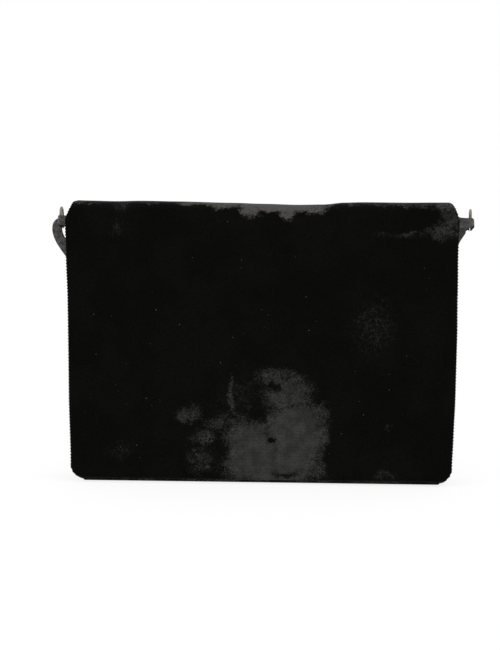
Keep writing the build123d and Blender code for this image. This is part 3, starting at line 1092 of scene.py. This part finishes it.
def new_finish(name, **surface):
    """A material with one shader. surface gives the sockets that are the same everywhere."""
    material = bpy.data.materials.new(name)
    material.use_nodes = True
    tree = material.node_tree
    tree.nodes.clear()
    output = put(tree, "OutputMaterial")
    shader = put(tree, "BsdfPrincipled")
    tree.links.new(shader.outputs[0], output.inputs["Surface"])
    for key, value in surface.items():
        shader.inputs[key.replace("_", " ")].default_value = value
    return material, tree, shader


def resting_place(tree):
    """The place on the resting bag, in millimetres, stored on each point of a piece."""
    place = put(tree, "Attribute", attribute_name="rest", attribute_type="GEOMETRY").outputs["Vector"]
    return put(tree, "VectorMath", {0: place, "Scale": 1000.0}, operation="SCALE").outputs[0]


def cad_place(tree):
    """The same for a CAD piece, which carries no stored place and never bends."""
    place = put(tree, "TexCoord").outputs["Object"]
    return put(tree, "VectorMath", {0: place, "Scale": 1000.0}, operation="SCALE").outputs[0]


def grain(tree, place, scale, detail=3.0, rough=0.55, stretch=(1, 1, 1)):
    """Noise with about `scale` features to a millimetre, stretched along an axis if wanted."""
    place = put(tree, "Mapping", {"Vector": place, "Scale": stretch}).outputs[0]
    return put(tree, "TexNoise", {"Vector": place, "Scale": scale, "Detail": detail,
                                  "Roughness": rough}).outputs


def ramp(tree, value, low, high, to_low=0.0, to_high=1.0):
    """Value from low to high becomes to_low to to_high, with a soft start and end."""
    return put(tree, "MapRange", {0: value, 1: low, 2: high, 3: to_low, 4: to_high},
               interpolation_type="SMOOTHSTEP").outputs[0]


def two_tone(tree, value, low, high, first, second):
    """The first colour where the value is below low, the second where it is above high."""
    return blend_colour(tree, ramp(tree, value, low, high), first, second)


def roughen(tree, shader, height, strength, distance):
    """Bumps the surface by a height."""
    bump = put(tree, "Bump", {"Height": height, "Strength": strength, "Distance": distance})
    tree.links.new(bump.outputs[0], shader.inputs["Normal"])


# %% [markdown]
# Worn velvet.
#
# Velvet is black because its upright pile traps light. Where hands rub it, the pile is crushed
# or gone, and the ground weave shows grey. Each worn place is written as a soft ellipse with a
# strength. Noise pushes the ellipses' edges about, and finer noise leaves tufts of pile standing.

# %% Wear map
# (x, z, half-width, half-height in mm, strength, softness)
HAND_WEAR = [
    (21, 31, 19.5, 21, 1.0, 0.55), (8, 12, 30, 13, 0.98, 0.6), (-7, 25, 16, 18, 0.85, 0.65),
    (17, 57, 15, 11, 0.68, 0.7), (8, 68, 11, 6, 0.60, 0.8), (22, 65, 8, 6, 0.52, 0.8),
    (-11, 57, 10, 13, 0.22, 0.5), (-19.5, 57, 2.2, 13, 0.5, 0.8), (-45, 44, 7, 6, 0.56, 0.9),
    (-36, 30, 7, 5, 0.56, 0.9), (-38, 15, 8, 9, 0.46, 0.9), (-28, 38, 8, 5, 0.46, 0.9),
    (34, 44, 10, 9, 0.62, 0.8), (-20, 40, 10, 8, 0.38, 0.9), (71, 100, 15, 18, 0.27, 0.9),
    (-90, 20, 8, 6, 0.25, 0.9), (80, 37.5, 3, 2.5, 0.35, 0.9), (80, 7, 9, 3, 0.34, 0.9),
    (-90, 174, 5, 4, 0.45, 0.9), (-92, 162, 6, 5, 0.30, 0.9),
    (114, 161, 11, 6, 0.55, 0.7), (92, 158, 22, 2.2, 0.33, 0.9),
    (118, 168, 6, 8, 0.5, 0.8), (0, 40, 44, 42, 0.20, 0.9),
]
DARK_TUFTS = [(6.7, 29, 3.0, 1.4, 1.0, 0.5), (7.5, 62, 4.5, 4, 0.65, 0.6), (16, 6.5, 8, 2.2, 0.75, 0.7),
              (46, 20, 5, 16, 0.9, 0.3), (-3, 44, 5, 3, 0.6, 0.7), (-24, 20, 5, 5, 0.5, 0.7)]
# Along the top fold the pile is worn, and it is also painted lighter there: a painted highlight of the light
# from above on the rounded fold.
# (x, y, z, reach in x, in y and in z, all in mm, strength, softness)
TOP_WEAR_AND_HIGHLIGHT = [
    (10, -3, 178, 30, 9, 5.0, 1.0, 0.4), (-32, -3, 179, 22, 9, 3.6, 0.85, 0.6),
    (-8, -6, 173, 6, 9, 5, 0.75, 0.6), (17, -6, 172, 5, 9, 5, 0.7, 0.6),
    (33, -6, 174, 6, 9, 4, 0.75, 0.6), (46, -3, 179, 14, 9, 2.4, 0.5, 0.6),
    (90, -3, 178, 32, 9, 2.4, 0.36, 0.8), (118, -3, 178, 10, 9, 5, 0.5, 0.8),
    (-112, -3, 179, 12, 9, 2.5, 0.4, 0.8), (-80, -3, 179, 30, 9, 2.0, 0.36, 0.8),
]


def ellipse(tree, place, centre, reach, strength, softness):
    """How far inside one soft ellipse a place is."""
    offset = put(tree, "VectorMath", {0: place, 1: centre}, operation="SUBTRACT").outputs[0]
    share = [1 / r if r else 0.0 for r in reach]
    scaled = put(tree, "VectorMath", {0: offset, 1: share}, operation="MULTIPLY").outputs[0]
    distance = put(tree, "VectorMath", {0: scaled}, operation="LENGTH").outputs["Value"]
    return ramp(tree, distance, 1 + softness, 1 - softness, 0.0, strength)


def strongest(tree, values):
    total = values[0]
    for value in values[1:]:
        total = sum_up(tree, "MAXIMUM", total, value)
    return total


def ragged(tree, place):
    """The place, pushed about by coarse and by fine noise."""
    pushes = place
    for scale, reach in ((0.10, 10.0), (0.45, 3.4), (1.7, 1.2)):
        noise = grain(tree, place, scale, 2.0)["Color"]
        centred = put(tree, "VectorMath", {0: noise, 1: (0.5, 0.5, 0.5)},
                      operation="SUBTRACT").outputs[0]
        push = put(tree, "VectorMath", {0: centred, "Scale": reach}, operation="SCALE").outputs[0]
        pushes = put(tree, "VectorMath", {0: pushes, 1: push}, operation="ADD").outputs[0]
    return pushes


def broken_up(tree, strength, place):
    """Wear as standing tufts and bare ground: where the strength is low, only specks are bare."""
    level = ramp(tree, grain(tree, place, 0.35, 4.0, 0.7)[0], 0.3, 0.7, 0.0, 0.34)
    tuft = ramp(tree, grain(tree, place, 1.5, 3.0, 0.7)[0], 0.3, 0.7, 0.0, 0.62)
    bare = sum_up(tree, "SUBTRACT", strength, sum_up(tree, "ADD", level, tuft))
    return sum_up(tree, "MULTIPLY", ramp(tree, bare, -0.30, 0.32), ramp(tree, strength, 0.02, 0.34))


# %% [markdown]
# The velvet's shader.
#
# The pile's colour is almost nothing, with a faint sheen at grazing angles. The worn ground has
# its own grey, woven in fine level ribs. The top fold is painted a lighter grey again: worn cloth
# with a painted highlight of the light from above. Bump adds the nap, and the colours follow the
# maps of wear and of painted highlight.

# %% Velvet
BLACK_PILE, WARM_PILE = (0.0021, 0.0021, 0.0018, 1), (0.0030, 0.0030, 0.0025, 1)
GROUND_GREY, GROUND_LIGHT = (0.0165, 0.0165, 0.0155, 1), (0.047, 0.047, 0.044, 1)
# Top-fold greys: worn cloth, painted lighter as a highlight where the light from above falls on the roll.
WORN_FOLD_LIT_GREY, WORN_FOLD_HIGHLIGHT = (0.040, 0.039, 0.036, 1), (0.105, 0.102, 0.096, 1)


def pile_colour(tree, place, tufts):
    """Black that drifts slowly to a warmer black and is speckled by the tufts."""
    slow = grain(tree, place, 0.035, 3.0)[0]
    black = two_tone(tree, slow, 0.4, 0.62, BLACK_PILE, WARM_PILE)
    speckle = ramp(tree, tufts, 0.35, 0.75, 0.6, 1.35)
    return put(tree, "Mix", {0: 1.0, 6: black, 7: speckle}, data_type="RGBA",
               blend_type="MULTIPLY").outputs[2]


def flat_wear(tree, moved, places):
    """The strongest of several worn ellipses that reach right through the bag."""
    return strongest(tree, [ellipse(tree, moved, (x, 0, z), (rx, 0, rz), power, soft)
                            for x, z, rx, rz, power, soft in places])


def ground_weave(tree, place, fine):
    """The bare ground: level ribs, fine threads and slow patches, from grey to light grey."""
    rib = put(tree, "TexWave", {"Vector": place, "Scale": 0.157, "Distortion": 0.6,
                                "Detail": 1.0, "Detail Scale": 0.4},
              wave_type="BANDS", bands_direction="Z", wave_profile="SIN").outputs["Fac"]
    patchy = ramp(tree, grain(tree, place, 0.16, 4.0, 0.65)[0], 0.32, 0.68)
    weave = sum_up(tree, "ADD", sum_up(tree, "MULTIPLY", rib, 0.14),
                   ramp(tree, fine, 0.32, 0.68, 0.0, 0.86))
    light = sum_up(tree, "MULTIPLY", weave, sum_up(tree, "ADD", patchy, 0.35), True)
    return blend_colour(tree, light, GROUND_GREY, GROUND_LIGHT)


def velvet(name, worn_places=(), holes=(), top_wear_and_highlight_places=()):
    material, tree, shader = new_finish(
        name, Roughness=0.95, Specular_IOR_Level=0.04, Sheen_Weight=0.035, Sheen_Roughness=0.45,
        Sheen_Tint=(0.8, 0.8, 0.85, 1))
    place = resting_place(tree)
    moved = ragged(tree, place)
    tufts = grain(tree, place, 1.1, 3.0, 0.7)[0]
    fine = grain(tree, place, 2.6, 2.0, 0.6)[0]
    colour = pile_colour(tree, place, tufts)
    if worn_places:
        standing = sum_up(tree, "SUBTRACT", 1.0, flat_wear(tree, moved, holes))
        worn = sum_up(tree, "MULTIPLY", flat_wear(tree, moved, worn_places), standing, True)
        colour = blend_colour(tree, broken_up(tree, worn, place), colour, ground_weave(tree, place, fine))
    # The top fold: worn cloth, painted lighter still as a highlight of the light from above.
    if top_wear_and_highlight_places:
        places = [ellipse(tree, moved, (x, y, z), (rx, ry, rz), power, soft)
                  for x, y, z, rx, ry, rz, power, soft in top_wear_and_highlight_places]
        rubbed_and_highlit = broken_up(tree, strongest(tree, places), place)
        fold = two_tone(tree, fine, 0.35, 0.7, WORN_FOLD_LIT_GREY, WORN_FOLD_HIGHLIGHT)
        colour = blend_colour(tree, rubbed_and_highlit, colour, fold)
    tree.links.new(colour, shader.inputs["Base Color"])
    roughen(tree, shader, sum_up(tree, "ADD", tufts, fine), 0.35, 0.0003)
    return material


BACK_WEAR = [(0, 5, 116, 3.0, 0.3, 0.8), (40, 120, 16, 12, 0.07, 0.8)]
BASE_WEAR = [(0, 0, 116, 2.2, 0.55, 0.7)]
HIDDEN_TUFT = [(0, 60, 3, 3, 0.4, 0.7)]
flap_finish = velvet("velvet_worn_and_highlit", HAND_WEAR, DARK_TUFTS, TOP_WEAR_AND_HIGHLIGHT)
back_finish = velvet("velvet_back", BACK_WEAR, HIDDEN_TUFT, TOP_WEAR_AND_HIGHLIGHT)
inner_finish = velvet("velvet_inner", BASE_WEAR, HIDDEN_TUFT)
for piece, finish in ((flap_velvet, flap_finish), (back_velvet, back_finish),
                      (front_velvet, inner_finish)):
    piece.data.materials.append(finish)
print("velvet nodes", len(flap_finish.node_tree.nodes))

# %% [markdown]
# Gusset velvet, ribbon, satin, board and thread.
#
# The other soft finishes are simpler. Ribbon is short-napped and greyed by wear in patches.
# Satin is a smooth weave with a soft directional gloss. Millboard is pressed from fibres, so its
# colour breaks up in short flecks.

# %% Soft finishes
gusset_finish = velvet("velvet_gusset")


def ribbon_finish():
    material, tree, shader = new_finish("ribbon_velvet", Roughness=0.85, Specular_IOR_Level=0.2,
                                        Sheen_Weight=0.08, Sheen_Roughness=0.5)
    place = resting_place(tree)
    slow, tufts = grain(tree, place, 0.30, 3.0)[0], grain(tree, place, 1.6, 3.0, 0.7)[0]
    dark = two_tone(tree, slow, 0.38, 0.62, (0.020, 0.019, 0.018, 1), (0.075, 0.075, 0.078, 1))
    colour = two_tone(tree, tufts, 0.42, 0.66, dark, (0.135, 0.127, 0.118, 1))
    tree.links.new(colour, shader.inputs["Base Color"])
    roughen(tree, shader, tufts, 0.5, 0.0002)
    return material


def satin_finish(name, place_of):
    material, tree, shader = new_finish(name, Specular_IOR_Level=0.45, Sheen_Weight=0.05,
                                        Sheen_Roughness=0.3, Anisotropic=0.35)
    place = place_of(tree)
    slow = grain(tree, place, 0.06, 3.0)[0]
    thread = grain(tree, place, 1.8, 2.0, 0.6, (6.0, 1.0, 0.7))[0]
    colour = two_tone(tree, thread, 0.35, 0.65, (0.010, 0.0095, 0.011, 1), (0.024, 0.023, 0.025, 1))
    tree.links.new(colour, shader.inputs["Base Color"])
    tree.links.new(ramp(tree, slow, 0.35, 0.65, 0.34, 0.48), shader.inputs["Roughness"])
    threads, folds = sum_up(tree, "MULTIPLY", thread, 0.12), sum_up(tree, "MULTIPLY", slow, 4.0)
    roughen(tree, shader, sum_up(tree, "ADD", threads, folds), 0.5, 0.0006)
    return material


def board_finish(name, place_of):
    material, tree, shader = new_finish(name, Roughness=0.9, Specular_IOR_Level=0.2)
    place = place_of(tree)
    flecks = grain(tree, place, 0.9, 4.0, 0.7, (1.0, 1.0, 3.0))[0]
    clouds = grain(tree, place, 0.08, 2.0)[0]
    colour = two_tone(tree, clouds, 0.35, 0.65, (0.30, 0.26, 0.21, 1), (0.42, 0.38, 0.32, 1))
    colour = two_tone(tree, flecks, 0.58, 0.72, colour, (0.16, 0.14, 0.12, 1))
    tree.links.new(colour, shader.inputs["Base Color"])
    roughen(tree, shader, flecks, 0.4, 0.0002)
    return material


ribbon = ribbon_finish()
satin = satin_finish("satin_black", resting_place)
board_laid = board_finish("millboard_laid", resting_place)
board_cad = board_finish("millboard", cad_place)
print("soft finishes made")

# %% [markdown]
# Metals.
#
# The rings and the snap are nickel plated and old: the plate is smooth but clouded, with darker
# stains. The magnet is dull ferrite. The washers are bare pressed steel with faint scratches.

# %% Metal finishes
def metal_finish(name, place_of, light, dark, smooth, dull, scratch=1.0):
    material, tree, shader = new_finish(name, Metallic=1.0)
    place = place_of(tree)
    clouds = grain(tree, place, 0.5, 4.0, 0.6)[0]
    lines = grain(tree, place, 2.2, 2.0, 0.5, (0.3, 3.0, 3.0))[0]
    tree.links.new(two_tone(tree, clouds, 0.45, 0.7, light, dark), shader.inputs["Base Color"])
    tree.links.new(ramp(tree, clouds, 0.35, 0.7, smooth, dull), shader.inputs["Roughness"])
    roughen(tree, shader, lines, 0.15 * scratch, 0.0001)
    return material


nickel = metal_finish("nickel_aged", resting_place, (0.24, 0.21, 0.18, 1), (0.08, 0.065, 0.05, 1),
                      0.3, 0.5)
steel = metal_finish("washer_steel", cad_place, (0.55, 0.55, 0.54, 1), (0.38, 0.37, 0.36, 1),
                     0.3, 0.5, 2.0)


def magnet_finish():
    material, tree, shader = new_finish("ferrite", Roughness=0.55, Specular_IOR_Level=0.4)
    place = resting_place(tree)
    grit = grain(tree, place, 2.4, 3.0, 0.7)[0]
    colour = two_tone(tree, grit, 0.35, 0.65, (0.035, 0.034, 0.033, 1), (0.075, 0.073, 0.070, 1))
    tree.links.new(colour, shader.inputs["Base Color"])
    roughen(tree, shader, grit, 0.3, 0.0001)
    return material


def lint_finish():
    material, tree, shader = new_finish("lint", Roughness=0.9, Specular_IOR_Level=0.2)
    tint = grain(tree, resting_place(tree), 0.03, 1.0)[0]
    colour = two_tone(tree, tint, 0.4, 0.6, (0.10, 0.10, 0.095, 1), (0.22, 0.20, 0.19, 1))
    tree.links.new(colour, shader.inputs["Base Color"])
    return material


def thread_finish():
    material, tree, shader = new_finish("thread", Roughness=0.6, Specular_IOR_Level=0.4)
    place = resting_place(tree)
    ply = put(tree, "TexWave", {"Vector": place, "Scale": 0.9, "Distortion": 1.0},
              wave_type="BANDS", bands_direction="DIAGONAL").outputs["Fac"]
    tree.links.new(blend_colour(tree, ply, (0.006, 0.006, 0.006, 1), (0.020, 0.019, 0.019, 1)),
                   shader.inputs["Base Color"])
    return material


def dress(finish, *pieces):
    """Gives pieces one finish, in place of any that they had."""
    for piece in pieces:
        piece.data.materials.clear()
        piece.data.materials.append(finish)


made = {o.name: o for o in bpy.data.objects if o.type == "MESH" and "rest" in o.data.attributes}
dress(gusset_finish, made["velvet_gusset_left"], made["velvet_gusset_right"])
dress(ribbon, strap, *eyes, made["ribbon_tab_left"], made["ribbon_tab_right"])
dress(satin, *(made[n] for n in made if n.startswith("satin") or n == "slip_pocket_satin"))
dress(nickel, made["wire_ring_left"], made["wire_ring_right"], cup, stud)
dress(magnet_finish(), magnet)
dress(board_laid, spine_stiffener, *boards)
dress(thread_finish(), flap_stitches, pocket_stitches)
dress(lint_finish(), lint)
nodes = frame["nodes"]
dress(board_cad, *(nodes[n] for n in ("base_board", "front_board")))
dress(steel, nodes["cup_washer"], nodes["stud_washer"])
bare = [n for n, o in made.items() if not o.data.materials]
print("pieces without a finish:", bare)

# %% [markdown]

# %% [markdown]
# Floor and light.
#
# A black object on white needs a bright, even room. The floor is a light table: it glows almost
# as bright as the room, so the bag only leaves a faint shadow on it. Two large soft lights give
# the pile and the worn fold a little shape.

# %% Stage
floor_mesh = bpy.data.meshes.new("floor")
ground = bmesh.new()
bmesh.ops.create_circle(ground, cap_ends=True, segments=96, radius=12.0)
ground.to_mesh(floor_mesh)
ground.free()
floor = bpy.data.objects.new("floor", floor_mesh)
bpy.context.scene.collection.objects.link(floor)
floor_material, tree, shader = new_finish("floor_white", Roughness=1.0, Specular_IOR_Level=0.0,
                                          Base_Color=(0.17, 0.17, 0.17, 1),
                                          Emission_Color=(1, 1, 1, 1), Emission_Strength=0.835)
floor_mesh.materials.append(floor_material)

world = bpy.data.worlds.new("room")
bpy.context.scene.world = world
world.use_nodes = True
world.node_tree.nodes["Background"].inputs[0].default_value = (1, 1, 1, 1)
world.node_tree.nodes["Background"].inputs[1].default_value = 1.0


def soft_light(name, place, target, size, power):
    data = bpy.data.lights.new(name, "AREA")
    data.shape, data.size, data.energy = "DISK", size, power
    light = bpy.data.objects.new(name, data)
    light.location = place
    light.rotation_euler = (Vector(place) - Vector(target)).to_track_quat("Z", "Y").to_euler()
    bpy.context.scene.collection.objects.link(light)


soft_light("light_above", (0.3, -0.2, 1.9), (0, 0, 0.1), 1.2, 4.0)
soft_light("light_left", (-1.6, -1.5, 1.2), (0, 0, 0.1), 1.0, 3.0)
bpy.context.scene.view_settings.view_transform = "Standard"
print("stage ready")
